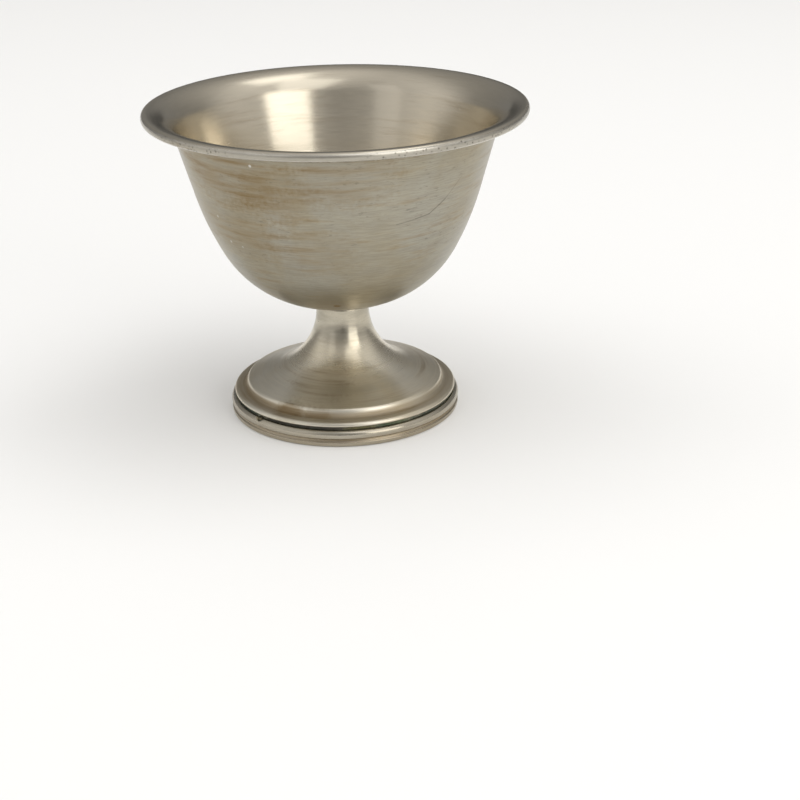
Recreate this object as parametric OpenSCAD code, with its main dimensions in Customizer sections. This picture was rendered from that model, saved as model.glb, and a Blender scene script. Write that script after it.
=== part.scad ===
// A footed shaving bowl in plated nickel silver: a spun bowl whose rim is curled over a wire,
// a spun stem and foot, and a drawn ring under the foot's edge, joined by two solder seams.
// The bowl stands on the XY plane with its axis on Z. Lengths are in millimetres.

/* [Whole bowl] */
// Diameter over the rim
rim_d = 108; // [104:1:114]
// Height from the table to the top of the rim
total_h = 89.5; // [87:0.5:93]
// Thickness of the sheet that the bowl and the foot are spun from
sheet_t = 0.8; // [0.6:0.1:1]

/* [Bowl] */
// Height of the middle of the bowl's underside above the table
bowl_base_h = 31.4; // [30.4:0.2:32.4]
// Outside radius of the shallow curve that sits on the stem
bottom_r = 45; // [43:1:47]
// Slope from level where that curve ends
bottom_slope = 24; // [22:1:26]
// Outside radius of the tighter curve that turns up into the wall
belly_r = 32; // [31:0.5:33]
// Slope from level where the tighter curve ends
belly_slope = 62; // [60:1:64]
// Outside radius of the slow curve of the lower wall
wall_r = 88; // [84:1:92]
// Slope from level of the straight upper wall
wall_slope = 74; // [73:0.5:75]

/* [Rim] */
// Diameter of the wire inside the curled rim
wire_d = 0.9; // [0.7:0.1:1.1]
// Angle that the sheet is curled round the wire
curl_angle = 262; // [240:1:268]

/* [Stem and foot] */
// Diameter of the stem at its narrowest
stem_d = 15.2; // [14:0.2:16]
// Radius of the rounded corner at the top of the stem
stem_corner_r = 0.9; // [0.9:0.1:1.4]
// Radius of the sweep from the stem to the cone
sweep_r = 19.2; // [18.5:0.1:19.4]
// Slope from level of the foot's cone
cone_slope = 18.5; // [17:0.5:19.5]
// Radius of the foot where the step begins
step_at_r = 27.9; // [27:0.1:28.4]
// Radius of the rounded edge of the step
brow_r = 1.1; // [1:0.1:1.3]
// Slope from level of the step's steep face
step_slope = 66; // [60:1:70]
// Length of the step's steep face between its curves
step_face = 1.2; // [0.8:0.1:1.3]
// Outside radius of the hollow curve at the bottom of the step
cove_r = 1.5; // [1.3:0.1:1.7]
// Slope from level of the ledge below the step
ledge_slope = 14; // [12:1:16]
// Outside radius of the bend at the end of the ledge
edge_bend_r = 1.5; // [1:0.1:2]
// Slope from level where the foot's rounded edge begins
edge_slope = 40; // [30:1:45]
// Diameter over the foot's rounded edge
edge_d = 65; // [64.4:0.2:66]

/* [Base ring] */
// Diameter over the ring
ring_d = 67; // [66.4:0.2:69]
// Height of the ring below the groove
ring_h = 4.7; // [4.4:0.1:5]
// Diameter of the hole in the ring
ring_hole_d = 60; // [58:0.5:61]
// Radius of the ring's rounded outer edges
ring_round_r = 1.2; // [0.9:0.1:1.4]
// Height of the open groove between the ring and the foot's edge
groove_h = 0.85; // [0.75:0.05:1]
// Diameter over the lip that stands up under the foot's ledge
lip_d = 62.8; // [62.2:0.2:63]
// Height of that lip above the ring
lip_h = 1.1; // [0.9:0.05:1.1]

/* [Solder] */
// Thickness of the solder between the bowl and the stem
film_t = 0.12; // [0.1:0.01:0.15]
// Radius of the solder fillet round the top of the stem
fillet_r = 0.6; // [0.5:0.1:0.7]
// Depth of the groove in front of the ring's solder
groove_depth = 0.7; // [0.6:0.1:0.8]

/* [Hidden] */
$fn = 128;

curve_step = 3;              // largest turn between two points on a curve, in degrees
seam_gap = 0.01;             // space between pieces that lie against each other
solder_rise = 0.05;          // height of the ring's solder above the groove
wire_r = wire_d / 2;
stem_r = stem_d / 2;
edge_r = edge_d / 2;
ring_r = ring_d / 2;
ring_hole_r = ring_hole_d / 2;
lip_under_h = total_h - sheet_t;
wire_at_r = rim_d / 2 - sheet_t - wire_r;
lip_r = lip_d / 2;
edge_h = ring_h + groove_h + sheet_t / 2;
solder_face_r = edge_r - groove_depth;

// A sheet's outline follows stations along its outer face: [radius, height, slope].
function last(v) = v[len(v) - 1];

function ahead(s, d) = [s[0] + d * cos(s[2]), s[1] + d * sin(s[2]), s[2]];

// Stations round a curve of radius r that starts at station s and turns left by turn degrees.
function curve(s, r, turn) =
    let (n = ceil(abs(turn) / curve_step), k = sign(turn))
    [for (i = [1:n])
        let (a = s[2] + turn * i / n)
        [s[0] + k * r * (sin(a) - sin(s[2])), s[1] - k * r * (cos(a) - cos(s[2])), a]];

// The points at distance d to the left of a run of stations.
function beside(path, d) = [for (s = path) [s[0] - d * sin(s[2]), s[1] + d * cos(s[2])]];

function backwards(v) = [for (i = [len(v) - 1:-1:0]) v[i]];

// The closed outline of a sheet of thickness t whose outer face follows a path. Points may be
// given to close its far end with.
function sheet(path, t, end_points = []) =
    concat(beside(path, 0), end_points, backwards(beside(path, t)));

// The bowl's belly, from the middle of its underside to the start of the straight wall.
bowl_start = [[0, bowl_base_h, 0]];
bottom = concat(bowl_start, curve(bowl_start[0], bottom_r, bottom_slope));
belly = concat(bottom, curve(last(bottom), belly_r, belly_slope - bottom_slope));
lower_wall = concat(belly, curve(last(belly), wall_r, wall_slope - belly_slope));

// The straight wall and the flare take up what is left, so that the rim has its size:
//   wall * cos(slope) + flare * sin(slope) = reach
//   wall * sin(slope) + flare * (1 - cos(slope)) = rise
wall_end = last(lower_wall);
reach = wire_at_r - wall_end[0];
rise = lip_under_h - wall_end[1];
wall_det = cos(wall_slope) - 1;
wall_len = (reach * (1 - cos(wall_slope)) - rise * sin(wall_slope)) / wall_det;
flare_r = (rise * cos(wall_slope) - reach * sin(wall_slope)) / wall_det;
upper_wall = concat(lower_wall, [ahead(wall_end, wall_len)]);
flared = concat(upper_wall, curve(last(upper_wall), flare_r, -wall_slope));
bowl_path = concat(flared, curve(last(flared), wire_r, -curl_angle));

// The foot's edge is a full round as thick as the sheet. Its outer face meets it at edge_start.
edge_centre = [edge_r - sheet_t / 2, edge_h];
edge_start = edge_centre + sheet_t / 2 * [sin(edge_slope), cos(edge_slope)];

// The foot from the start of the sweep s down to where its rounded edge begins.
function foot_below(s) =
    let (sweep = concat([s], curve(s, sweep_r, 90 - cone_slope)))
    let (cone_end = last(sweep))
    let (cone = concat(sweep, [ahead(cone_end, (step_at_r - cone_end[0]) / cos(cone_slope))]))
    let (brow = concat(cone, curve(last(cone), brow_r, cone_slope - step_slope)))
    let (face = concat(brow, [ahead(last(brow), step_face)]))
    let (cove = concat(face, curve(last(face), cove_r, step_slope - ledge_slope)))
    let (bend_reach = edge_bend_r * (sin(edge_slope) - sin(ledge_slope)))
    let (ledge_run = (edge_start[0] - bend_reach - last(cove)[0]) / cos(ledge_slope))
    let (ledge = concat(cove, [ahead(last(cove), ledge_run)]))
    concat(ledge, curve(last(ledge), edge_bend_r, ledge_slope - edge_slope));

// The stem's closed top is dished to the bowl and turns down at a rounded corner.
seat_r = bottom_r + film_t;
seat_slope = asin((stem_r - stem_corner_r) / (seat_r + stem_corner_r));
seat_start = [[0, bowl_base_h - film_t, 0]];
seat = concat(seat_start, curve(seat_start[0], seat_r, seat_slope));
seat_corner = concat(seat, curve(last(seat), stem_corner_r, -90 - seat_slope));
foot_drop = -last(foot_below([stem_r, 0, -90]))[1];
foot_path = concat(seat_corner, foot_below([stem_r, edge_start[1] + foot_drop, -90]));
edge_round = curve(last(foot_path), sheet_t / 2, -180);
edge_points = [for (i = [0:len(edge_round) - 2]) [edge_round[i][0], edge_round[i][1]]];

// A closed outline turned about the axis.
module spun(outline) {
    rotate_extrude() polygon(outline);
}

module bowl() {
    color("#b5ad9c") spun(sheet(bowl_path, sheet_t));
}

module rim_wire() {
    color("#a9a090")
        rotate_extrude()
            translate([wire_at_r, lip_under_h - wire_r])
                circle(r = wire_r - seam_gap);
}

// The foot's material lies inside its outer face, which is to the right of the path.
module foot() {
    color("#aaa18d") spun(sheet(foot_path, -sheet_t, edge_points));
}

// A film that fills the seat, and a fillet that closes the corner round it.
module stem_solder() {
    film_r = stem_r + fillet_r;
    film_slope = asin(film_r / bottom_r);
    top = curve([0, bowl_base_h - seam_gap, 0], bottom_r + seam_gap, film_slope);
    under_corner = beside(seat_corner, seam_gap);
    fillet = curve([film_r, last(top)[1] - seam_gap, -180], fillet_r, 90);
    color("#8b8678")
        spun(concat([[0, bowl_base_h - seam_gap]], beside(top, 0), beside(fillet, 0),
            backwards(under_corner)));
}

// Solder at the back of the groove, against the ring's lip.
module ring_solder() {
    inner_r = lip_r + seam_gap;
    bottom_h = ring_h + seam_gap;
    color("#5d5f52")
        rotate_extrude()
            translate([inner_r, bottom_h])
                square([solder_face_r - inner_r, groove_h + solder_rise - seam_gap]);
}

// The ring's outer edges are rounded. Its lip stands under the ledge, and it rests on a flat face.
module base_ring() {
    corner_at_r = ring_r - ring_round_r;
    color("#a79e8b")
        rotate_extrude() {
            translate([ring_hole_r, 0]) square([corner_at_r - ring_hole_r, ring_h]);
            translate([corner_at_r, ring_round_r])
                square([ring_round_r, ring_h - 2 * ring_round_r]);
            for (z = [ring_round_r, ring_h - ring_round_r])
                translate([corner_at_r, z]) circle(r = ring_round_r);
            translate([ring_hole_r, 0]) square([lip_r - ring_hole_r, ring_h + lip_h]);
        }
}

bowl();
rim_wire();
stem_solder();
foot();
ring_solder();
base_ring();
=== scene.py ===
# %% [markdown]
# # A footed shaving bowl in plated metal
#
# This notebook builds the looks of a small footed bowl for whipping up shaving lather. On the
# bench it comes apart into a spun bowl with a wire in its rim, a spun foot, a drawn ring under
# the foot, and two seams of soft solder. A finished model of those parts, made for size and
# fit, is loaded first and is never moved. Each visible part is then spun again here with finer
# curves, small faults of hand work, and a worn metal finish.

# %% Load the fitted parts
import math

import bmesh
import bpy
from mathutils import Matrix, Vector, noise


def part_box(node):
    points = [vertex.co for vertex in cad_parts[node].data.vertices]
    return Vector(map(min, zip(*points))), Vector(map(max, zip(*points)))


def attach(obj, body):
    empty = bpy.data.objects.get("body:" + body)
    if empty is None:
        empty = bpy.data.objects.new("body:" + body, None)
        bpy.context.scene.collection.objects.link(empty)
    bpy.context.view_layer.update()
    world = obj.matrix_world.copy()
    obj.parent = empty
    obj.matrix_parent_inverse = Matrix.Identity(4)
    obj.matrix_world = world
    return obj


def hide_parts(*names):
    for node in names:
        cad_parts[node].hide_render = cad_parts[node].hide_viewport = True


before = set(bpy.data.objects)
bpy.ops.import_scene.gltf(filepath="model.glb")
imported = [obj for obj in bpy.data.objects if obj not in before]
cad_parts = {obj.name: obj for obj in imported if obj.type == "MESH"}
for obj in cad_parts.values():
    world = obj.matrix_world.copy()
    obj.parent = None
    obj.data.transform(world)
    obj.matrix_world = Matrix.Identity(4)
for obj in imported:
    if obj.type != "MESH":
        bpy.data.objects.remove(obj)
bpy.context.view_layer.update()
MM = 0.001
print("parts in the frame:", ", ".join(sorted(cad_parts)))

# %% [markdown]
# ## Measure the parts
#
# Every size below is read from the boxes round the fitted parts, so that the new pieces land
# exactly on them. Only the radii and slopes of the curves are written as numbers, because a
# box can't show those.

# %% Sizes read from the fitted parts
bowl_low, bowl_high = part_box("bowl")
wire_low, wire_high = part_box("rim_wire")
foot_low, foot_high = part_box("foot")
ring_low, ring_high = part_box("base_ring")
seam_low, seam_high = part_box("ring_solder")

rim_r = (bowl_high.x - bowl_low.x) / 2
rim_z = bowl_high.z
wire_r = (wire_high.z - wire_low.z) / 2
wire_z = (wire_high.z + wire_low.z) / 2
sheet = rim_z - wire_high.z
wire_at_r = rim_r - sheet - wire_r
base_z = bowl_low.z
edge_r = (foot_high.x - foot_low.x) / 2
edge_z = foot_low.z + sheet / 2
ring_r = (ring_high.x - ring_low.x) / 2
ring_top = seam_low.z
print(f"rim {rim_r / MM:.2f} mm at {rim_z / MM:.2f} mm, sheet {sheet / MM:.2f} mm, ring {ring_r / MM:.2f} mm")

# %% [markdown]
# ## Camera
#
# The view is a little above the rim, with a long lens, as a seller would take it. The camera
# leans by a degree, so the bowl looks as if it leans too. A rotation is built from two turns,
# one for each habit of a person with a camera: pointing down, and tilting.

# %% Place the camera
camera_place = Vector((0.0162, -0.46258, 0.19661))
camera_down = math.radians(23.045)
camera_tilt = math.radians(-1.187)
lens_mm = 75.84

camera = bpy.data.objects.new("camera", bpy.data.cameras.new("camera"))
bpy.context.scene.collection.objects.link(camera)
point_down = Matrix.Rotation(math.pi / 2 - camera_down, 4, "X")
camera.matrix_world = Matrix.Translation(camera_place) @ point_down @ Matrix.Rotation(camera_tilt, 4, "Z")
camera.data.lens = lens_mm
camera.data.sensor_width = 36
camera.data.clip_start = 0.01
bpy.context.scene.camera = camera
bpy.context.scene.view_settings.view_transform = "Standard"

# %% [markdown]
# ## Helpers for shader nodes
#
# A material is a small network. `put` adds one node to it, sets the node's options, and fills
# its inputs: a number is typed in, and an output socket of another node is joined by a link.
# With it, each network reads from top to bottom like a recipe.

# %% A helper that adds one shader node
def put(tree, kind, inputs=None, **options):
    """Adds a shader node. inputs maps socket names or numbers to values or to other sockets."""
    made = tree.nodes.new(kind)
    for option, value in options.items():
        setattr(made, option, value)
    for key, value in (inputs or {}).items():
        if isinstance(value, bpy.types.NodeSocket):
            tree.links.new(value, made.inputs[key])
        else:
            made.inputs[key].default_value = value
    return made


def maths(tree, operation, *values, clamp=False):
    """The result of a Math node on one to three values or sockets."""
    return put(tree, "ShaderNodeMath", dict(enumerate(values)), operation=operation, use_clamp=clamp).outputs[0]


def fade(tree, value, start, end, low=0.0, high=1.0):
    """A smooth step from low to high as value goes from start to end."""
    inputs = {"Value": value, "From Min": start, "From Max": end, "To Min": low, "To Max": high}
    return put(tree, "ShaderNodeMapRange", inputs, interpolation_type="SMOOTHSTEP").outputs["Result"]


def blend(tree, mask, colour_a, colour_b, mode="MIX"):
    """Mixes two colours by a mask."""
    mix = put(tree, "ShaderNodeMix", {0: mask, 6: colour_a, 7: colour_b}, data_type="RGBA", blend_type=mode)
    return mix.outputs[2]


def new_group(name, inputs, outputs):
    """A shader node group with named sockets: returns the group, its input node and its output node."""
    group = bpy.data.node_groups.new(name, "ShaderNodeTree")
    for socket_name, value in inputs.items():
        kind = "NodeSocketVector" if isinstance(value, tuple) else "NodeSocketFloat"
        socket = group.interface.new_socket(socket_name, in_out="INPUT", socket_type=kind)
        socket.default_value = value
    for socket_name in outputs:
        group.interface.new_socket(socket_name, in_out="OUTPUT", socket_type="NodeSocketFloat")
    return group, put(group, "NodeGroupInput"), put(group, "NodeGroupOutput")


def use_group(tree, group, **inputs):
    """Places a shader node group in a material with its own values."""
    placed = put(tree, "ShaderNodeGroup", node_tree=group)
    for socket_name, value in inputs.items():
        socket = placed.inputs[socket_name.replace("_", " ")]
        if isinstance(value, bpy.types.NodeSocket):
            tree.links.new(value, socket)
        else:
            socket.default_value = value
    return placed.outputs

# %% [markdown]
# ## Floor and light
#
# Polished metal has hardly any colour of its own: it shows the room. So the light is the first
# thing to get right. A white floor fills the lower half of every reflection. A tall soft panel
# to the right, in front, stands for a window, and makes the upright streak inside the bowl. A
# dimmer panel above it draws the bright line along the rim. Two small ones make the paler stripe
# to the right of the streak and the shine on the right of the foot. Between them the room is a
# dull grey, which gives the metal its darker stretches.

# %% Floor
floor_mesh = bpy.data.meshes.new("floor")
floor_bm = bmesh.new()
bmesh.ops.create_circle(floor_bm, cap_ends=True, segments=96, radius=4.0)
floor_bm.to_mesh(floor_mesh)
floor_bm.free()
floor = bpy.data.objects.new("floor", floor_mesh)
bpy.context.scene.collection.objects.link(floor)

floor_finish = bpy.data.materials.new("white floor")
floor_finish.use_nodes = True
floor_shader = floor_finish.node_tree.nodes["Principled BSDF"]
floor_shader.inputs["Base Color"].default_value = (0.90, 0.895, 0.885, 1)
floor_shader.inputs["Roughness"].default_value = 0.9
floor_shader.inputs["Specular IOR Level"].default_value = 0.1
floor_mesh.materials.append(floor_finish)

# %% Soft panels
def soft_panel(name, azimuth, elevation, distance, width, height, brightness, colour=(1, 1, 1)):
    """A rectangular area light aimed at the bowl. Azimuth 0 is the camera's side, 90 is the right."""
    aim = Vector((0, 0, 0.06))
    turn, rise = math.radians(azimuth), math.radians(elevation)
    way = Vector((math.sin(turn) * math.cos(rise), -math.cos(turn) * math.cos(rise), math.sin(rise)))
    light = bpy.data.lights.new(name, "AREA")
    light.shape = "RECTANGLE"
    light.size, light.size_y = width, height
    light.energy = brightness * math.pi * width * height
    light.color = colour
    panel = bpy.data.objects.new(name, light)
    bpy.context.scene.collection.objects.link(panel)
    panel.location = aim + way * distance
    panel.rotation_euler = way.to_track_quat("Z", "Y").to_euler()
    print(f"{name}: {light.energy:.1f} W")
    return panel


panel_away = 1.3
window_white = (1.0, 0.985, 0.95)
soft_panel("window panel", 40, 17, panel_away, width=0.80, height=0.72, brightness=1.6, colour=window_white)
soft_panel("high window panel", 30, 53, panel_away, width=0.75, height=0.95, brightness=0.62)
soft_panel("left card", -40, 24, panel_away, width=0.46, height=1.0, brightness=0.2)
soft_panel("shine panel", 108, 71, panel_away, width=0.60, height=0.50, brightness=0.9)

# %% [markdown]
# A white floor needs more light than the metal may show. Real studios hide such lamps behind
# screens. Here four more panels are switched off for glossy rays, so they light the floor round
# the bowl and under it, but are never seen in the metal.

# %% Floor lamps that the metal doesn't see
lamp_away = 1.6
lamp_side = 1.2
floor_lamps = [
    # side, azimuth, elevation, brightness
    ("right", 95, 50, 1.25),
    ("front", -10, 74, 0.72),
    ("left", -100, 50, 1.05),
    ("back", 190, 50, 0.45),
]
for side, azimuth, elevation, brightness in floor_lamps:
    lamp = soft_panel(f"{side} floor lamp", azimuth, elevation, lamp_away, lamp_side, lamp_side, brightness)
    lamp.visible_glossy = False

# %% [markdown]
# The room round the bowl is a box with walls of different greys. A direction's three parts,
# squared, always add up to one, so they can share a direction out between the wall it mostly
# faces and its neighbours. That gives a soft room in a handful of nodes. The ceiling and the
# walls are lit from the front right and fade to a dark back, and someone stands in front of the
# bowl, as a dark narrow shape near the floor. That shape is the dark stripe on the stem.

# %% Room
room = bpy.data.worlds.new("room")
bpy.context.scene.world = room
room.use_nodes = True
room_tree = room.node_tree
room_tree.nodes.clear()
looking = put(room_tree, "ShaderNodeTexCoord").outputs["Generated"]
facing = put(room_tree, "ShaderNodeSeparateXYZ", {0: looking}).outputs
ceiling_left_to_right = fade(room_tree, facing["X"], -0.45, 0.35, low=0.60, high=0.90)
ceiling_front_to_back = fade(room_tree, facing["Y"], 0.15, 0.8, low=1.0, high=0.7)
ceiling = maths(room_tree, "MULTIPLY", ceiling_left_to_right, ceiling_front_to_back)
room_light = maths(room_tree, "MULTIPLY", maths(room_tree, "POWER", facing["Z"], 2.0), ceiling)

walls_front_to_back = fade(room_tree, facing["Y"], -0.15, 0.55, low=1.0, high=0.40)
beside_person = fade(room_tree, maths(room_tree, "ABSOLUTE", facing["X"]), 0.08, 0.15)
over_person = fade(room_tree, facing["Z"], 0.12, 0.32)
clear_of_person = maths(room_tree, "MAXIMUM", beside_person, over_person)
person = fade(room_tree, clear_of_person, 0.0, 1.0, low=0.3, high=1.0)
fading = maths(room_tree, "MULTIPLY", walls_front_to_back, person)

walls = {"front": ("Y", -1, 0.32), "back": ("Y", 1, 0.50), "left": ("X", -1, 0.76), "right": ("X", 1, 0.66)}
for wall, (axis, sign, grey) in walls.items():
    towards = maths(room_tree, "MAXIMUM", maths(room_tree, "MULTIPLY", facing[axis], sign), 0.0)
    share_of_wall = maths(room_tree, "MULTIPLY", maths(room_tree, "POWER", towards, 2.0), grey)
    room_light = maths(room_tree, "MULTIPLY_ADD", share_of_wall, fading, room_light)
room_back = put(room_tree, "ShaderNodeBackground", {"Strength": room_light, "Color": (1.0, 0.99, 0.97, 1)})
put(room_tree, "ShaderNodeOutputWorld", {"Surface": room_back.outputs[0]})

# %% [markdown]
# ## Outlines
#
# A spun part is a flat outline turned round an axis, so all its character is in the outline.
# The outline is walked the way a template is laid out: go straight for so far, then bend round
# a radius for so many degrees. Each station on the walk keeps its slope, and the sheet's other
# face is found by stepping sideways from each station by the sheet's thickness.

# %% Helpers that walk an outline
def ahead(path, length, pieces=1):
    """Adds stations straight on from the end of a path."""
    r, z, slope = path[-1]
    for i in range(1, pieces + 1):
        step = length * i / pieces
        path.append((r + step * math.cos(slope), z + step * math.sin(slope), slope))


def bend(path, radius, degrees, pieces):
    """Adds stations round a bend. A positive angle bends to the left."""
    r, z, slope = path[-1]
    side = math.copysign(radius, degrees)
    for i in range(1, pieces + 1):
        turned = slope + math.radians(degrees) * i / pieces
        path.append((r + side * (math.sin(turned) - math.sin(slope)),
                     z - side * (math.cos(turned) - math.cos(slope)), turned))


def beside(path, distance):
    """The points at a distance to the left of each station."""
    return [(r - distance * math.sin(slope), z + distance * math.cos(slope)) for r, z, slope in path]


def spin(name, outline, steps=384, closed=False):
    """Turns an outline of (radius, height) points into a mesh and returns it as a bmesh."""
    bm = bmesh.new()
    points = [bm.verts.new((r, 0, z)) for r, z in outline]
    pairs = list(zip(points, points[1:]))
    if closed:
        pairs.append((points[-1], points[0]))
    edges = [bm.edges.new(pair) for pair in pairs]
    bmesh.ops.spin(bm, geom=points + edges, cent=(0, 0, 0), axis=(0, 0, 1), angle=2 * math.pi,
                   steps=steps, use_merge=True, use_duplicate=False)
    bmesh.ops.remove_doubles(bm, verts=bm.verts, dist=1e-7)
    bmesh.ops.recalc_face_normals(bm, faces=bm.faces)
    print(f"{name}: {len(outline)} outline points, {len(bm.faces)} faces")
    return bm


def finish_piece(name, bm, sharp_degrees=50):
    """Makes the object of a finished bmesh, smooth but for its real corners."""
    mesh = bpy.data.meshes.new(name)
    for face in bm.faces:
        face.smooth = True
    bm.to_mesh(mesh)
    bm.free()
    mesh.set_sharp_from_angle(angle=math.radians(sharp_degrees))
    piece = bpy.data.objects.new(name, mesh)
    bpy.context.scene.collection.objects.link(piece)
    return piece

# %% [markdown]
# ## The bowl
#
# The real bowl is one disc of sheet, spun over a former until it has a shallow bottom, a tight
# belly, a nearly straight wall and a flared lip. The lip is then curled right round a wire,
# which stiffens the rim. The straight wall and the flare take up whatever height and width is
# left, and two equations give their sizes, as on the fitted part.

# %% Walk the bowl's outline
bottom_r, bottom_slope = 45 * MM, 24
belly_r, belly_slope = 32 * MM, 62
wall_r, wall_slope = 88 * MM, 74
curl_degrees = 262

bowl_path = [(0.0, base_z, 0.0)]
bend(bowl_path, bottom_r, bottom_slope, 12)
bend(bowl_path, belly_r, belly_slope - bottom_slope, 18)
bend(bowl_path, wall_r, wall_slope - belly_slope, 10)
wall_angle = math.radians(wall_slope)
reach = wire_at_r - bowl_path[-1][0]
rise = rim_z - sheet - bowl_path[-1][1]
share = math.cos(wall_angle) - 1
wall_length = (reach * (1 - math.cos(wall_angle)) - rise * math.sin(wall_angle)) / share
flare_r = (rise * math.cos(wall_angle) - reach * math.sin(wall_angle)) / share
ahead(bowl_path, wall_length, 12)
bend(bowl_path, flare_r, -wall_slope, 22)
lip_start = len(bowl_path)
bend(bowl_path, wire_r, -curl_degrees, 22)
print(f"wall {wall_length / MM:.2f} mm long, flare radius {flare_r / MM:.2f} mm")

# %% [markdown]
# The outer side of the curl has been rubbed nearly flat by years of polishing cloths and
# knocks. Taking up to a tenth of a millimetre off the sheet where it faces outwards gives the
# rim two soft shoulders, and each of them catches its own line of light.

# %% Spin the bowl
rub_depth = 0.10 * MM
inner_side = []
for place, (r, z, slope) in enumerate(bowl_path):
    rubbed = max(0.0, math.cos(slope + math.pi / 2)) ** 3 if place >= lip_start else 0.0
    inner_side += beside([(r, z, slope)], sheet - rub_depth * rubbed)
bowl_bm = spin("bowl", beside(bowl_path, 0) + inner_side[::-1])

# %% [markdown]
# ## Hand work
#
# Nothing spun on a lathe by hand is perfect. The tool leaves faint rings, the shell is a hair
# out of round, and use adds dents. A few hundredths of a millimetre are enough: the shape
# doesn't change, but straight reflections start to waver as they do on old metal. Blender's
# built-in noise gives the same value at the same place, so both faces of the sheet move together.

# %% Let a spun shell wander from its perfect shape
def wander(bm, climb, ring_depth, round_depth, seed):
    """Moves each point sideways: rings from the tool, and a slow out-of-round."""
    shift = Vector((seed, seed * 0.37, seed * 0.71))
    for vert in bm.verts:
        radius = math.hypot(vert.co.x, vert.co.y)
        if radius < 1e-6:
            continue
        out = Vector((vert.co.x / radius, vert.co.y / radius, 0))
        along = (vert.co.z + climb * radius) / MM
        rings = noise.noise(Vector((out.x * 0.6, out.y * 0.6, along * 0.35)) + shift)
        slow = noise.noise(Vector((out.x * 0.9, out.y * 0.9, along * 0.02)) - shift)
        vert.co += out * (ring_depth * rings + round_depth * slow) * min(1.0, radius / (8 * MM))


wander(bowl_bm, climb=1, ring_depth=0.035 * MM, round_depth=0.10 * MM, seed=3.1)

# %% Mark which side of the sheet is the inside
def mark_inside(bm):
    """Stores 1 on the bowl's inside and on top of the flare, and 0 on its outside."""
    inside = bm.verts.layers.float.new("inside")
    bm.normal_update()
    for vert in bm.verts:
        radius = max(1e-6, math.hypot(vert.co.x, vert.co.y))
        outward = (vert.normal.x * vert.co.x + vert.normal.y * vert.co.y) / radius
        vert[inside] = min(1.0, max(0.0, 0.5 + 1.5 * (vert.normal.z - outward)))


mark_inside(bowl_bm)

# %% Knocks and pits along the rim
def wear_rim(bm, at_r, at_z, reach_in, depth):
    """Presses small pits and longer flats into the outer side of the rim."""
    for vert in bm.verts:
        radius = math.hypot(vert.co.x, vert.co.y)
        if radius < at_r - reach_in or abs(vert.co.z - at_z) > reach_in:
            continue
        round_place = Vector((vert.co.x, vert.co.y, (vert.co.z - at_z) * 2)) / MM
        pits = max(0.0, noise.noise(round_place * 0.9) - 0.25)
        flats = max(0.0, noise.noise(round_place * 0.12 + Vector((7, 2, 5))) - 0.1)
        press = depth * (pits * 1.2 + flats * 0.5)
        vert.co.x -= vert.co.x / radius * press
        vert.co.y -= vert.co.y / radius * press


wear_rim(bowl_bm, rim_r, wire_z, 0.75 * MM, 0.12 * MM)
bowl = finish_piece("spun_bowl", bowl_bm)

# %% [markdown]
# ## The foot
#
# The foot is spun from a second disc. Its closed top is dished to sit under the bowl, then the
# sheet turns down into a slim stem and sweeps out to a low cone. A step and a ledge stiffen the
# edge, and the edge itself is filed to a full round. The outline is walked downwards here, so
# its outer face is the walk and the sheet lies to its right.

# %% Walk and spin the foot
stem_r = 7.6 * MM
stem_corner_r = 0.9 * MM
film = 0.12 * MM
sweep_r, cone_slope = 19.2 * MM, 18.5
step_at_r, brow_r = 27.9 * MM, 1.1 * MM
step_slope, step_face = 66, 1.0 * MM
cove_r, ledge_slope = 1.5 * MM, 10
edge_bend_r, edge_slope = 1.1 * MM, 80


def walk_foot(start_z):
    """The foot's outer face from the top of the sweep to the start of the rounded edge."""
    path = [(stem_r, start_z, -math.pi / 2)]
    bend(path, sweep_r, 90 - cone_slope, 26)
    ahead(path, (step_at_r - path[-1][0]) / math.cos(math.radians(cone_slope)), 5)
    bend(path, brow_r, cone_slope - step_slope, 9)
    ahead(path, step_face, 2)
    bend(path, cove_r, step_slope - ledge_slope, 9)
    ledge, last = math.radians(ledge_slope), math.radians(edge_slope)
    bend_reach = edge_bend_r * (math.sin(last) - math.sin(ledge))
    bend_start = edge_r - sheet / 2 + sheet / 2 * math.sin(last) - bend_reach
    ahead(path, (bend_start - path[-1][0]) / math.cos(ledge), 2)
    bend(path, edge_bend_r, ledge_slope - edge_slope, 10)
    return path


edge_start_z = edge_z + sheet / 2 * math.cos(math.radians(edge_slope))
drop = -walk_foot(0.0)[-1][1]
seat_r = bottom_r + film
seat_slope = math.degrees(math.asin((stem_r - stem_corner_r) / (seat_r + stem_corner_r)))
foot_path = [(0.0, base_z - film, 0.0)]
bend(foot_path, seat_r, seat_slope, 4)
bend(foot_path, stem_corner_r, -90 - seat_slope, 8)
foot_path += walk_foot(edge_start_z + drop)
outer_face = beside(foot_path, 0)
bend(foot_path, sheet / 2, -180, 12)
edge_round = beside(foot_path[-12:-1], 0)
inner_face = beside(foot_path[:-12], -sheet)
foot_bm = spin("foot", outer_face + edge_round + inner_face[::-1])
wander(foot_bm, climb=-1, ring_depth=0.03 * MM, round_depth=0.06 * MM, seed=5.7)
foot = finish_piece("spun_foot", foot_bm)

# %% [markdown]
# ## The base ring
#
# The ring under the foot is drawn wire bent round and soldered shut. Its outer side is a fat
# bead over a thin flange, with a crease between them that no polishing cloth reaches. Its flat
# underside is what the bowl stands on. One nick in its upper edge is where the solder never took.

# %% Walk and spin the base ring
ring_hole_r = 30 * MM
lip_r = seam_low.x * -1 - 0.4 * MM
flange_h = 1.5 * MM
flange_r = ring_r - 0.1 * MM
crease_r = ring_r - 0.45 * MM
bead_h = ring_top - flange_h - 0.4 * MM


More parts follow.
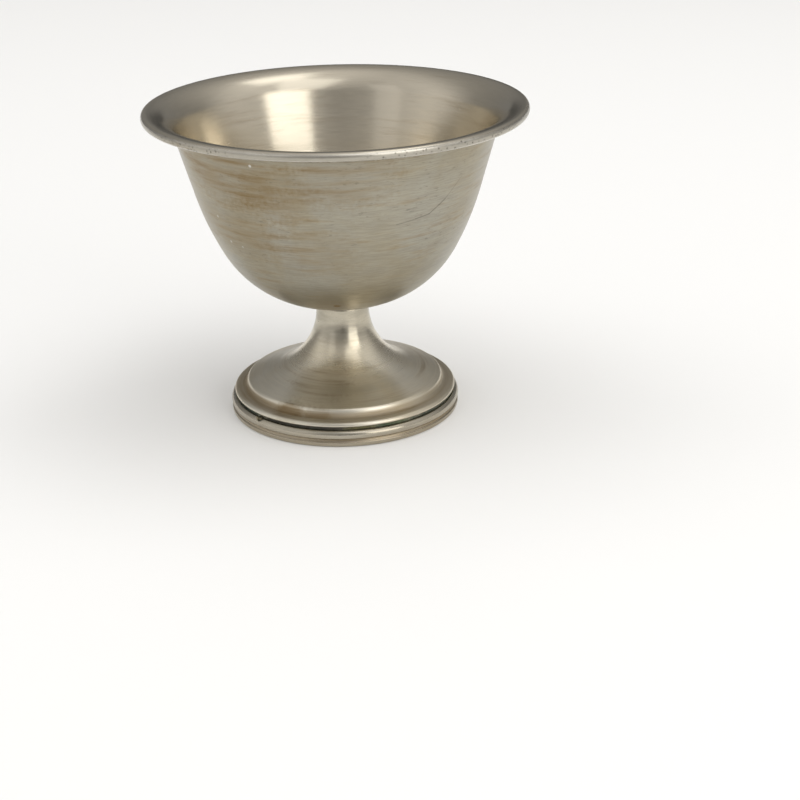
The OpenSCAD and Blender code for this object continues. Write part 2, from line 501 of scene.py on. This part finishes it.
def rounded(centre_r, centre_z, half_wide, half_high, start, end, pieces):
    """Points on part of an ellipse, from one angle to another in degrees."""
    angles = [math.radians(start + (end - start) * i / pieces) for i in range(pieces + 1)]
    return [(centre_r + half_wide * math.cos(a), centre_z + half_high * math.sin(a)) for a in angles]


bead_z = ring_top - bead_h / 2
bead_half_wide = 1.15 * MM
ring_outline = [(ring_hole_r, 0.0), (ring_hole_r, ring_high.z), (lip_r, ring_high.z), (lip_r, ring_top)]
ring_outline += rounded(ring_r - bead_half_wide, bead_z, bead_half_wide, bead_h / 2, 90, -58, 20)
ring_outline += [(crease_r, flange_h + 0.12 * MM)]
ring_outline += rounded(flange_r - 0.35 * MM, flange_h - 0.35 * MM, 0.35 * MM, 0.35 * MM, 80, 0, 5)
ring_outline += rounded(flange_r - 0.6 * MM, 0.6 * MM, 0.6 * MM, 0.6 * MM, 0, -90, 8)
ring_bm = spin("base ring", ring_outline, closed=True)
wander(ring_bm, climb=-1, ring_depth=0.02 * MM, round_depth=0.05 * MM, seed=9.2)

# %% [markdown]
# A nick is a local push: the points near its centre move the whole way, and the push fades out
# smoothly towards its reach, so it leaves no hard step. The same helper opens the void behind it.

# %% Nick the ring
def nick(bm, centre, reach, push):
    """Pushes the points round a centre, most in the middle and not at all at the reach."""
    for vert in bm.verts:
        near = 1 - (vert.co - centre).length / reach
        if near > 0:
            vert.co += push * (near * near * (3 - 2 * near))


nick_turn = math.radians(-47)
nick_way = Vector((math.sin(nick_turn), -math.cos(nick_turn), 0))
nick_centre = nick_way * (ring_r - 1.0 * MM) + Vector((0, 0, ring_top))
nick(ring_bm, nick_centre, reach=1.5 * MM, push=Vector((0, 0, -0.9 * MM)))
base_ring = finish_piece("drawn_base_ring", ring_bm)

# %% [markdown]
# ## Solder
#
# Soft solder is run into the joint with a torch, so it never lies as evenly as a drawn line.
# Both seams are spun as small rounded fillets, and then their surface is pushed in and out.

# %% Spin the two seams
def lumpy(bm, depth, size, seed):
    """Pushes a seam's surface in and out along its normals."""
    for vert in bm.verts:
        vert.co += vert.normal * depth * noise.noise(vert.co / size + Vector((seed, 0, seed)))


def bottom_height(r):
    """The height of the bowl's underside at a radius."""
    return base_z + bottom_r - math.sqrt(bottom_r ** 2 - r ** 2)


seam_r = (seam_high.x - seam_low.x) / 2
fillet_r = 0.6 * MM
fillet_out = stem_r + fillet_r
fillet_top = bottom_height(fillet_out)
seam_in = stem_r - 1.2 * MM
stem_outline = [(seam_in, bottom_height(seam_in) - film)]
stem_outline += [(seam_in, bottom_height(seam_in)), (stem_r, bottom_height(stem_r))]
stem_outline += rounded(fillet_out, fillet_top - fillet_r, fillet_r, fillet_r, 90, 180, 10)
stem_outline += [(stem_r - 0.05 * MM, fillet_top - fillet_r - 0.5 * MM)]
stem_bm = spin("stem solder", stem_outline, steps=192, closed=True)
lumpy(stem_bm, 0.04 * MM, 1.4 * MM, 4.4)
stem_solder = finish_piece("stem_seam", stem_bm)

groove_outline = [(lip_r - 0.02 * MM, ring_top - 0.02 * MM), (seam_r, ring_top - 0.02 * MM)]
groove_outline += rounded(seam_r + 0.25 * MM, ring_top + 0.45 * MM, 0.35 * MM, 0.45 * MM, 250, 110, 10)
groove_outline += [(lip_r - 0.02 * MM, seam_high.z)]
groove_bm = spin("groove solder", groove_outline, closed=True)
lumpy(groove_bm, 0.12 * MM, 1.8 * MM, 8.3)
void_centre = nick_way * seam_r + Vector((0, 0, ring_top + 0.4 * MM))
nick(groove_bm, void_centre, reach=1.6 * MM, push=nick_way * -0.35 * MM)
groove_solder = finish_piece("groove_seam", groove_bm)

# %% [markdown]
# ## Finishes
#
# All the plated parts share a few effects, and each is a node group with its own dials:
# rings left by the tool and the cloth, patches of tarnish, pits, dirt, painted light and painted shade at a
# certain height, and single marks. Each group gives only masks, and the materials decide what the masks do.

# %% Rings left by spinning and polishing
turned_lines, given, gives = new_group(
    "turned lines",
    {"Vector": (0.0, 0.0, 0.0), "Climb": 1.0, "Fineness": 2500.0, "Stretch": 7.0, "Detail": 3.0}, ["Lines"])
split = put(turned_lines, "ShaderNodeSeparateXYZ", {0: given.outputs["Vector"]})
flat = put(turned_lines, "ShaderNodeCombineXYZ", {"X": split.outputs["X"], "Y": split.outputs["Y"]}).outputs[0]
radius = put(turned_lines, "ShaderNodeVectorMath", {0: flat}, operation="LENGTH").outputs["Value"]
outwards = put(turned_lines, "ShaderNodeVectorMath", {0: flat}, operation="NORMALIZE").outputs["Vector"]
climbed = maths(turned_lines, "MULTIPLY_ADD", radius, given.outputs["Climb"], split.outputs["Z"])
fine = maths(turned_lines, "MULTIPLY", climbed, given.outputs["Fineness"])
spread = put(turned_lines, "ShaderNodeVectorMath", {0: outwards, "Scale": given.outputs["Stretch"]},
             operation="SCALE").outputs["Vector"]
stacked = put(turned_lines, "ShaderNodeCombineXYZ", {"Z": fine}).outputs[0]
place = put(turned_lines, "ShaderNodeVectorMath", {0: spread, 1: stacked}, operation="ADD").outputs["Vector"]
grain = put(turned_lines, "ShaderNodeTexNoise",
            {"Vector": place, "Scale": 1.0, "Detail": given.outputs["Detail"], "Roughness": 0.6})
turned_lines.links.new(grain.outputs[0], gives.inputs["Lines"])

# %% Patches of tarnish
tarnish_patches, given, gives = new_group(
    "tarnish patches",
    {"Vector": (0.0, 0.0, 0.0), "Scale": 40.0, "Seed": 0.0, "Level": 0.55, "Softness": 0.12, "Detail": 5.0},
    ["Mask"])
clouds = put(tarnish_patches, "ShaderNodeTexNoise",
             {"Vector": given.outputs["Vector"], "W": given.outputs["Seed"], "Scale": given.outputs["Scale"],
              "Detail": given.outputs["Detail"], "Roughness": 0.6, "Distortion": 0.6}, noise_dimensions="4D")
low = maths(tarnish_patches, "SUBTRACT", given.outputs["Level"], given.outputs["Softness"])
high = maths(tarnish_patches, "ADD", given.outputs["Level"], given.outputs["Softness"])
tarnish_patches.links.new(fade(tarnish_patches, clouds.outputs[0], low, high), gives.inputs["Mask"])

# %% Pits
pits, given, gives = new_group(
    "pits",
    {"Vector": (0.0, 0.0, 0.0), "Scale": 900.0, "Size": 0.25, "Crowding": 0.5, "Region": 60.0}, ["Mask"])
cells = put(pits, "ShaderNodeTexVoronoi", {"Vector": given.outputs["Vector"], "Scale": given.outputs["Scale"]})
dots = fade(pits, cells.outputs["Distance"], given.outputs["Size"], 0.0)
chosen = put(pits, "ShaderNodeSeparateColor", {0: cells.outputs["Color"]}).outputs[0]
kept = maths(pits, "LESS_THAN", chosen, 0.45)
region = put(pits, "ShaderNodeTexNoise", {"Vector": given.outputs["Vector"], "Scale": given.outputs["Region"],
                                          "Detail": 3.0}).outputs[0]
crowded = fade(pits, region, maths(pits, "SUBTRACT", 1.0, given.outputs["Crowding"]),
               maths(pits, "SUBTRACT", 1.12, given.outputs["Crowding"]))
pits.links.new(maths(pits, "MULTIPLY", maths(pits, "MULTIPLY", dots, kept), crowded), gives.inputs["Mask"])

# %% Dirt, tarnish, painted light and painted shade that lie at one height
height_band, given, gives = new_group(
    "height band", {"Vector": (0.0, 0.0, 0.0), "Low": 0.0, "High": 0.01, "Softness": 0.001}, ["Mask"])
level = put(height_band, "ShaderNodeSeparateXYZ", {0: given.outputs["Vector"]}).outputs["Z"]
softness = given.outputs["Softness"]
above = fade(height_band, level, maths(height_band, "SUBTRACT", given.outputs["Low"], softness),
             maths(height_band, "ADD", given.outputs["Low"], softness))
below = fade(height_band, level, maths(height_band, "ADD", given.outputs["High"], softness),
             maths(height_band, "SUBTRACT", given.outputs["High"], softness))
height_band.links.new(maths(height_band, "MULTIPLY", above, below), gives.inputs["Mask"])

# %% A single mark
single_mark, given, gives = new_group(
    "single mark",
    {"Vector": (0.0, 0.0, 0.0), "Centre": (0.0, 0.0, 0.0), "Radius": 0.002, "Raggedness": 0.5, "Flatten": 1.0},
    ["Mask"])
offset = put(single_mark, "ShaderNodeVectorMath", {0: given.outputs["Vector"], 1: given.outputs["Centre"]},
             operation="SUBTRACT").outputs["Vector"]
squash = put(single_mark, "ShaderNodeCombineXYZ", {"X": 1.0, "Y": 1.0, "Z": given.outputs["Flatten"]})
flattened = put(single_mark, "ShaderNodeVectorMath", {0: offset, 1: squash.outputs[0]}, operation="MULTIPLY")
away = put(single_mark, "ShaderNodeVectorMath", {0: flattened.outputs["Vector"]}, operation="LENGTH")
rag = put(single_mark, "ShaderNodeTexNoise",
          {"Vector": given.outputs["Vector"], "Scale": 900.0, "Detail": 3.0}).outputs[0]
ragged = maths(single_mark, "MULTIPLY", maths(single_mark, "SUBTRACT", rag, 0.5), given.outputs["Raggedness"])
share = maths(single_mark, "DIVIDE", away.outputs["Value"], given.outputs["Radius"])
share_away = maths(single_mark, "ADD", share, ragged)
single_mark.links.new(fade(single_mark, share_away, 1.0, 0.45), gives.inputs["Mask"])

# %% A scratch between two points
scratch_line, given, gives = new_group(
    "scratch line",
    {"Vector": (0.0, 0.0, 0.0), "Start": (0.0, 0.0, 0.0), "End": (0.0, 0.0, 0.01), "Width": 0.0003}, ["Mask"])
from_start = put(scratch_line, "ShaderNodeVectorMath", {0: given.outputs["Vector"], 1: given.outputs["Start"]},
                 operation="SUBTRACT").outputs["Vector"]
whole = put(scratch_line, "ShaderNodeVectorMath", {0: given.outputs["End"], 1: given.outputs["Start"]},
            operation="SUBTRACT").outputs["Vector"]
done = put(scratch_line, "ShaderNodeVectorMath", {0: from_start, 1: whole}, operation="DOT_PRODUCT")
full = put(scratch_line, "ShaderNodeVectorMath", {0: whole, 1: whole}, operation="DOT_PRODUCT")
along = maths(scratch_line, "DIVIDE", done.outputs["Value"], full.outputs["Value"], clamp=True)
nearest = put(scratch_line, "ShaderNodeVectorMath", {0: whole, "Scale": along}, operation="SCALE")
apart = put(scratch_line, "ShaderNodeVectorMath", {0: from_start, 1: nearest.outputs["Vector"]},
            operation="DISTANCE")
line = fade(scratch_line, apart.outputs["Value"], given.outputs["Width"], 0.0)
scratch_line.links.new(line, gives.inputs["Mask"])

# %% [markdown]
# ## Places on the surface
#
# A stain or a scratch has to sit on the metal, so its place is looked up on the walked outline:
# an azimuth round the bowl, with 0 in front, and a height above the table.

# %% Find places on the surface
def round_axis(r, azimuth, height):
    """The point at a radius, an azimuth in degrees and a height."""
    turn = math.radians(azimuth)
    return (r * math.sin(turn), -r * math.cos(turn), height)


def on_outline(path, azimuth, height):
    """The point of a walked outline at an azimuth and a height."""
    for (r_a, z_a, _), (r_b, z_b, _) in zip(path, path[1:]):
        if min(z_a, z_b) <= height <= max(z_a, z_b) and z_a != z_b:
            return round_axis(r_a + (r_b - r_a) * (height - z_a) / (z_b - z_a), azimuth, height)
    raise ValueError(f"no point at {height}")


def on_bowl(azimuth, height_mm):
    """A place on the bowl's outside."""
    return on_outline(bowl_path[:lip_start], azimuth, height_mm * MM)


def on_rim(azimuth):
    """A place on the outermost line of the rim."""
    return round_axis(rim_r, azimuth, wire_z)


def on_foot(azimuth, height_mm):
    """A place on the foot's outside."""
    return on_outline(foot_path[12:-12], azimuth, height_mm * MM)

# %% [markdown]
# ## Colours of metal, tarnish and dirt
#
# A metal's colour is the share of light that it mirrors. Tarnish mirrors less than clean plate,
# and yellows it. The foot mirrors the bowl's dark underside, so its tones are painted paler:
# painted light that makes up for the light the bowl keeps off it.

# %% Colours
GREY = (0.39, 0.368, 0.305, 1)
KHAKI = (0.355, 0.315, 0.23, 1)
# painted light for the bowl's underside round the stem
PALE_GREY_PAINTED_LIGHT = (0.54, 0.51, 0.44, 1)
BRIGHT = (0.66, 0.60, 0.49, 1)
RIM_GREY = (0.70, 0.665, 0.60, 1)
PITTED = (0.36, 0.335, 0.28, 1)
STEM_GREY = (0.40, 0.37, 0.30, 1)
# painted light: the foot's tones are painted paler than the bowl's plate
FOOT_GREY_PAINTED_PALE = (0.76, 0.715, 0.61, 1)
FOOT_KHAKI_PAINTED_PALE = (0.72, 0.645, 0.50, 1)
RING_TONES = ((0.46, 0.41, 0.32, 1), (0.52, 0.48, 0.40, 1))
BROWN = (0.25, 0.17, 0.075, 1)
DARK = (0.05, 0.042, 0.032, 1)
OLIVE = (0.20, 0.18, 0.06, 1)
GREEN = (0.10, 0.15, 0.06, 1)
TEAL = (0.035, 0.06, 0.05, 1)
WHITE = (0.75, 0.74, 0.70, 1)

# %% [markdown]
# ## Bands, stains, pits and scratches
#
# Each kind of wear, and the painted light and painted shade carried by some bands, is laid over
# the finish by its own helper, which takes the colour and the roughness so far and gives them back
# changed. All of it lies on the outside, so a stain on the wall doesn't show through the sheet on the inside.

# %% Lay wear over a finish
def lay_bands(tree, place, bands, streaks, outside, colour, rough):
    """A band is (low, high, softness, colour, strength, added roughness) and lies at one height."""
    for low_z, high_z, softness, stain, strength, roughen in bands:
        band = use_group(tree, height_band, Vector=place, Low=low_z, High=high_z, Softness=softness)["Mask"]
        broken = maths(tree, "MULTIPLY", band, fade(tree, streaks, 0.35, 0.6, low=0.6, high=1.0))
        band = maths(tree, "MULTIPLY", broken, maths(tree, "MULTIPLY", outside, strength))
        colour = blend(tree, band, colour, stain)
        rough = maths(tree, "MULTIPLY_ADD", band, roughen, rough)
    return colour, rough


def lay_stains(tree, place, stains, streaks, outside, colour, rough):
    """A stain is (centre, radius, colour, strength, raggedness). A wide one is flat and streaked."""
    for centre, size, stain, strength, raggedness in stains:
        wide = size > 3 * MM
        mark = use_group(tree, single_mark, Vector=place, Centre=centre, Radius=size, Raggedness=raggedness,
                         Flatten=1.8 if wide else 1.0)["Mask"]
        if wide:
            mark = maths(tree, "MULTIPLY", mark, fade(tree, streaks, 0.34, 0.66, low=0.12, high=1.0))
        mark = maths(tree, "MULTIPLY", mark, maths(tree, "MULTIPLY", outside, strength))
        colour = blend(tree, mark, colour, stain)
        rough = maths(tree, "MULTIPLY_ADD", mark, 0.12, rough)
    return colour, rough


def lay_pit_fields(tree, place, pit_fields, outside, spots):
    """A pit field is (centre, radius, crowding). Its centre is on the rim, and it is as thin as the rim."""
    for centre, size, crowding in pit_fields:
        field = use_group(tree, single_mark, Vector=place, Centre=centre, Radius=size, Raggedness=0.4,
                          Flatten=9.0)["Mask"]
        dense = use_group(tree, pits, Vector=place, Scale=1300.0, Size=0.60, Crowding=crowding,
                          Region=160.0)["Mask"]
        dense = maths(tree, "MULTIPLY", dense, outside)
        spots = maths(tree, "MAXIMUM", spots, maths(tree, "MULTIPLY", field, dense))
    return spots


def lay_scratches(tree, place, scratches, outside, colour):
    """A scratch is (start, end, width, colour, strength)."""
    for start, end, width, stain, strength in scratches:
        line = use_group(tree, scratch_line, Vector=place, Start=start, End=end, Width=width)["Mask"]
        line = maths(tree, "MULTIPLY", line, outside)
        colour = blend(tree, maths(tree, "MULTIPLY", line, strength), colour, stain)
    return colour

# %% [markdown]
# ## Worn plate
#
# The plated parts are one kind of metal, so one function makes their materials, with the amount
# of tarnish and the strength of the lines as its dials. The sheen of turned metal is wider up
# and down than it is sideways. The shader's anisotropy does that, and its rotation of a quarter
# turn lays the wide way across the lines.

# %% The plated finish
def worn_plate(name, climb, stretch, roughness, seed, tones=(KHAKI, GREY), brown_level=0.6, bands=(),
               stains=(), scratches=(), pit_fields=(), has_inside=False, hair=0.03, dash=0.04,
               spread_up=0.6, relief=0.12):
    """Tarnished plate between two tones. hair and dash are the strength of the fine and the broken lines."""
    material = bpy.data.materials.new(name)
    material.use_nodes = True
    tree = material.node_tree
    shader = tree.nodes["Principled BSDF"]
    place = put(tree, "ShaderNodeTexCoord").outputs["Object"]

    def lines(fineness, stretched, detail):
        return use_group(tree, turned_lines, Vector=place, Climb=climb, Fineness=fineness,
                         Stretch=stretch * stretched, Detail=detail)["Lines"]

    def patches(scale, moved, softness):
        return use_group(tree, tarnish_patches, Vector=place, Scale=scale, Seed=seed + moved, Level=0.5,
                         Softness=softness)["Mask"]

    hairs, dashes, streaks = lines(2600.0, 1.0, 3.0), lines(1500.0, 2.2, 2.0), lines(380.0, 0.22, 5.0)
    clouded, marked = patches(26.0, 0, 0.14), patches(60.0, 4, 0.12)
    spots = use_group(tree, pits, Vector=place, Scale=800.0, Size=0.3, Crowding=0.3, Region=45.0)["Mask"]

    # Clean or tarnished metal, browned in streaks.
    colour = blend(tree, clouded, *tones)
    outside = 1.0
    if has_inside:
        inside = put(tree, "ShaderNodeAttribute", attribute_name="inside").outputs["Fac"]
        colour = blend(tree, inside, colour, BRIGHT)
        outside = maths(tree, "SUBTRACT", 1.0, inside)
    browned = maths(tree, "MULTIPLY", fade(tree, streaks, brown_level - 0.12, brown_level + 0.14),
                    maths(tree, "MULTIPLY_ADD", outside, 0.30, 0.22))
    colour = blend(tree, browned, colour, BROWN)

    # Lighter and darker lines, fainter on the inside.
    hair_tone = fade(tree, hairs, 0.32, 0.68, low=1 - hair, high=1 + hair * 0.85)
    streak_tone = fade(tree, streaks, 0.3, 0.7, low=0.93, high=1.06)
    change = maths(tree, "SUBTRACT", maths(tree, "MULTIPLY", hair_tone, streak_tone), 1.0)
    tone = maths(tree, "MULTIPLY_ADD", change, maths(tree, "MULTIPLY_ADD", outside, 0.75, 0.25), 1.0)
    grey = put(tree, "ShaderNodeCombineColor", {0: tone, 1: tone, 2: tone}).outputs[0]
    colour = blend(tree, 1.0, colour, grey, mode="MULTIPLY")
    dashed = maths(tree, "MULTIPLY", fade(tree, dashes, 0.60, 0.70), maths(tree, "MULTIPLY", marked, outside))
    colour = blend(tree, maths(tree, "MULTIPLY", dashed, dash), colour, DARK)

    # The lines and the tarnish are rougher than clean plate, and the inside is smoother.
    rough = maths(tree, "MULTIPLY_ADD", hairs, 0.20, roughness - 0.10)
    if has_inside:
        rough = maths(tree, "MULTIPLY_ADD", inside, -0.14, rough)
    rough = maths(tree, "MULTIPLY_ADD", browned, 0.12, rough)

    colour, rough = lay_bands(tree, place, bands, streaks, outside, colour, rough)
    colour, rough = lay_stains(tree, place, stains, streaks, outside, colour, rough)
    spots = lay_pit_fields(tree, place, pit_fields, outside, spots)
    colour = blend(tree, maths(tree, "MULTIPLY", spots, 0.8), colour, DARK)
    colour = lay_scratches(tree, place, scratches, outside, colour)

    height = maths(tree, "MULTIPLY_ADD", spots, -1.5, maths(tree, "MULTIPLY_ADD", streaks, 1.2, hairs))
    bump = put(tree, "ShaderNodeBump", {"Strength": relief, "Distance": 0.00002, "Height": height})
    tree.links.new(colour, shader.inputs["Base Color"])
    tree.links.new(maths(tree, "MAXIMUM", rough, 0.10), shader.inputs["Roughness"])
    tree.links.new(bump.outputs[0], shader.inputs["Normal"])
    shader.inputs["Metallic"].default_value = 1.0
    shader.inputs["Anisotropic"].default_value = spread_up
    shader.inputs["Anisotropic Rotation"].default_value = 0.25
    print(f"{name}: {len(tree.nodes)} nodes")
    return material

# %% [markdown]
# ## The bowl's finish
#
# The bowl's wall is tarnished most at the upper left, in brown streaks. It carries four pale
# specks and one bent scratch. The rim is rubbed clean, apart from the dull line round its middle,
# where it is pitted. The metal round the stem is painted paler: painted light, so that the foot's
# cone, which mirrors it, comes out brighter.

# %% Bowl plate
bowl_stains = [
    # streaked brown tarnish, and at azimuth 4 a brown darkening high on the front of the wall, under the rim
    (on_bowl(-40, 80), 24 * MM, BROWN, 0.60, 0.7),
    (on_bowl(-22, 75), 18 * MM, BROWN, 0.40, 0.7),
    (on_bowl(-44, 63), 20 * MM, BROWN, 0.35, 0.7),
    (on_bowl(4, 80), 20 * MM, BROWN, 0.45, 0.7),
    (on_bowl(-10, 58), 18 * MM, BROWN, 0.25, 0.7),
    (on_bowl(-6, 38), 8 * MM, BROWN, 0.35, 0.8),
    # a brown spot by the stem
    (on_bowl(-1.5, 38.6), 1.3 * MM, BROWN, 0.85, 0.6),
    # pale specks
    (on_bowl(-28, 83), 0.55 * MM, WHITE, 0.75, 0.3),
    (on_bowl(-53, 65.1), 0.5 * MM, WHITE, 0.5, 0.3),
    (on_bowl(-50, 57.9), 0.5 * MM, WHITE, 0.5, 0.3),
    (on_bowl(-43, 57.3), 0.45 * MM, WHITE, 0.35, 0.3),
]
bowl_scratches = [
    (on_bowl(24, 65.5), on_bowl(32, 66.3), 0.25 * MM, DARK, 0.35),
    (on_bowl(32, 66.3), on_bowl(38, 66.9), 0.30 * MM, DARK, 0.5),
    (on_bowl(38, 66.9), on_bowl(45, 70.2), 0.30 * MM, DARK, 0.5),
    (on_bowl(45, 70.2), on_bowl(52, 75.5), 0.22 * MM, DARK, 0.3),
]
bowl_bands = [
    # painted light: the underside round the stem is painted paler, so the foot's cone mirrors it brighter
    (base_z - 2 * MM, base_z + 6 * MM, 5 * MM, PALE_GREY_PAINTED_LIGHT, 0.7, 0.0),
    (rim_z - 2.7 * MM, rim_z + 1 * MM, 0.2 * MM, RIM_GREY, 0.95, -0.14),
    (wire_z - 0.75 * MM, wire_z + 0.45 * MM, 0.2 * MM, PITTED, 0.85, 0.10),
]
rim_pits = [
    (on_rim(20), 13 * MM, 0.8),
    (on_rim(38), 14 * MM, 0.85),
    (on_rim(58), 13 * MM, 0.8),
    (on_rim(-45), 20 * MM, 0.6),
]
bowl_finish = worn_plate("bowl plate", climb=1.0, stretch=9.0, roughness=0.36, seed=2.0, brown_level=0.63,
                         bands=bowl_bands, pit_fields=rim_pits, stains=bowl_stains,
                         scratches=bowl_scratches, has_inside=True, hair=0.10, dash=0.30, relief=0.3)

# %% [markdown]
# ## The foot's and the ring's finish
#
# The foot is held and wiped more than the bowl is, so it is smoother. The hollow of its step is
# darker and browner, and brown dirt lies on the front left of its cone. The ring is brown in its crease
# and on its flange, partly as tarnish and partly as painted shade low down by the floor, and teal
# with old polish on top, inside the groove.

# %% Foot plate and ring plate
foot_bands = [
    (15 * MM, base_z + 5 * MM, 5 * MM, FOOT_KHAKI_PAINTED_PALE, 0.3, -0.40),
    # above 22 mm the stem is given a darker grey than the painted-pale foot
    (22 * MM, base_z + 5 * MM, 3 * MM, STEM_GREY, 0.9, 0.0),
    # the hollow of the step is made darker, browner and rougher
    (edge_z + 0.9 * MM, edge_z + 2.6 * MM, 0.4 * MM, BROWN, 0.60, 0.35),
]
foot_stains = [
    (on_foot(-20, 13), 12 * MM, BROWN, 0.5, 0.6),
    (on_foot(-31, 7.6), 6 * MM, BROWN, 0.7, 0.6),
    (on_foot(-14, 7.6), 5 * MM, BROWN, 0.5, 0.6),
]
# the foot's tones are painted paler, as painted light for the shade under the bowl
foot_finish = worn_plate("foot plate", climb=-1.0, stretch=3.0, roughness=0.33, seed=6.0, brown_level=0.62,
                         tones=(FOOT_KHAKI_PAINTED_PALE, FOOT_GREY_PAINTED_PALE), spread_up=0.4, bands=foot_bands, stains=foot_stains)
ring_bands = [
    # the flange and the crease are browned, partly as tarnish and partly as painted shade low down by the floor
    (0.4 * MM, flange_h, 0.3 * MM, BROWN, 0.35, 0.10),
    (flange_h, flange_h + 0.9 * MM, 0.3 * MM, BROWN, 0.7, 0.15),
    (ring_top - 0.05 * MM, ring_top + 3 * MM, 0.12 * MM, TEAL, 0.8, 0.15),
]
ring_finish = worn_plate("ring plate", climb=-1.0, stretch=3.0, roughness=0.22, seed=11.0, brown_level=0.62,
                         tones=RING_TONES, spread_up=0.4, bands=ring_bands)

# %% [markdown]
# ## Solder and wire
#
# Tin solder goes dull and grey, and in the groove under the foot it carries green copper salts
# and old polish. The wire inside the rim is hardly seen, but it still gets drawn-metal lines.

# %% Solder and wire finishes
def dull_solder(name, grey, stain, stain_level, seed, patches=()):
    """Matt, lumpy solder with a stain that gathers. A patch is (centre, radius, colour, strength)."""
    material = bpy.data.materials.new(name)
    material.use_nodes = True
    tree = material.node_tree
    shader = tree.nodes["Principled BSDF"]
    place = put(tree, "ShaderNodeTexCoord").outputs["Object"]
    stained = use_group(tree, tarnish_patches, Vector=place, Scale=160.0, Seed=seed, Level=stain_level,
                        Softness=0.12)["Mask"]
    crust = use_group(tree, tarnish_patches, Vector=place, Scale=1400.0, Seed=seed + 3, Level=0.5,
                      Softness=0.2)["Mask"]
    colour = blend(tree, stained, grey, stain)
    metal = maths(tree, "MULTIPLY_ADD", stained, -0.8, 0.85)
    for centre, size, tone, strength in patches:
        patch = use_group(tree, single_mark, Vector=place, Centre=centre, Radius=size, Raggedness=0.6)["Mask"]
        patch = maths(tree, "MULTIPLY", patch, strength)
        colour = blend(tree, patch, colour, tone)
        metal = maths(tree, "MULTIPLY", metal, maths(tree, "MULTIPLY_ADD", patch, -0.8, 1.0))
    tree.links.new(blend(tree, maths(tree, "MULTIPLY", crust, 0.5), colour, DARK), shader.inputs["Base Color"])
    tree.links.new(maths(tree, "MULTIPLY_ADD", crust, 0.25, 0.5), shader.inputs["Roughness"])
    tree.links.new(metal, shader.inputs["Metallic"])
    bump = put(tree, "ShaderNodeBump", {"Strength": 0.6, "Distance": 0.00006, "Height": crust})
    tree.links.new(bump.outputs[0], shader.inputs["Normal"])
    return material


def in_groove(azimuth):
    """A place on the face of the solder in the groove."""
    return round_axis(seam_r, azimuth, ring_top + 0.45 * MM)


# The groove is near black in front, and turns olive, green and teal towards its ends.
groove_patches = [
    (in_groove(-62), 12 * MM, TEAL, 0.7),
    (in_groove(-32), 10 * MM, DARK, 0.9),
    (in_groove(-10), 9 * MM, DARK, 0.85),
    (in_groove(9), 5.5 * MM, OLIVE, 0.8),
    (in_groove(27), 6.5 * MM, GREEN, 0.7),
    (in_groove(58), 11 * MM, TEAL, 0.5),
]
stain_level = 0.52
stem_solder_finish = dull_solder("stem solder", (0.35, 0.32, 0.26, 1), (0.16, 0.10, 0.05, 1), stain_level,
                                 seed=1.0)
groove_solder_finish = dull_solder("groove solder", (0.44, 0.42, 0.32, 1), (0.08, 0.13, 0.10, 1), stain_level,
                                   seed=4.0, patches=groove_patches)
wire_finish = worn_plate("rim wire", climb=1.0, stretch=7.0, roughness=0.4, seed=14.0)

# %% [markdown]
# ## Put the pieces together
#
# Each new piece rides on the bowl's one body, hides the plain part it stands for, and takes its
# finish. The wire keeps its fitted shape, because only a sliver of it can be seen.

# %% Dress and attach every piece
dressed = [
    (bowl, "bowl", "bowl_plate", bowl_finish),
    (foot, "foot", "foot_plate", foot_finish),
    (base_ring, "base_ring", "ring_plate", ring_finish),
    (stem_solder, "stem_solder", "seam_solder", stem_solder_finish),
    (groove_solder, "ring_solder", "groove_solder", groove_solder_finish),
]
for piece, node, slot, finish in dressed:
    piece.data.materials.clear()
    piece.data.materials.append(finish)
    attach(piece, "root")
    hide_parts(node)
    print(f"{piece.name} stands for {node}: {len(piece.data.polygons)} faces")

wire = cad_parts["rim_wire"]
wire.data.materials.clear()
wire.data.materials.append(wire_finish)
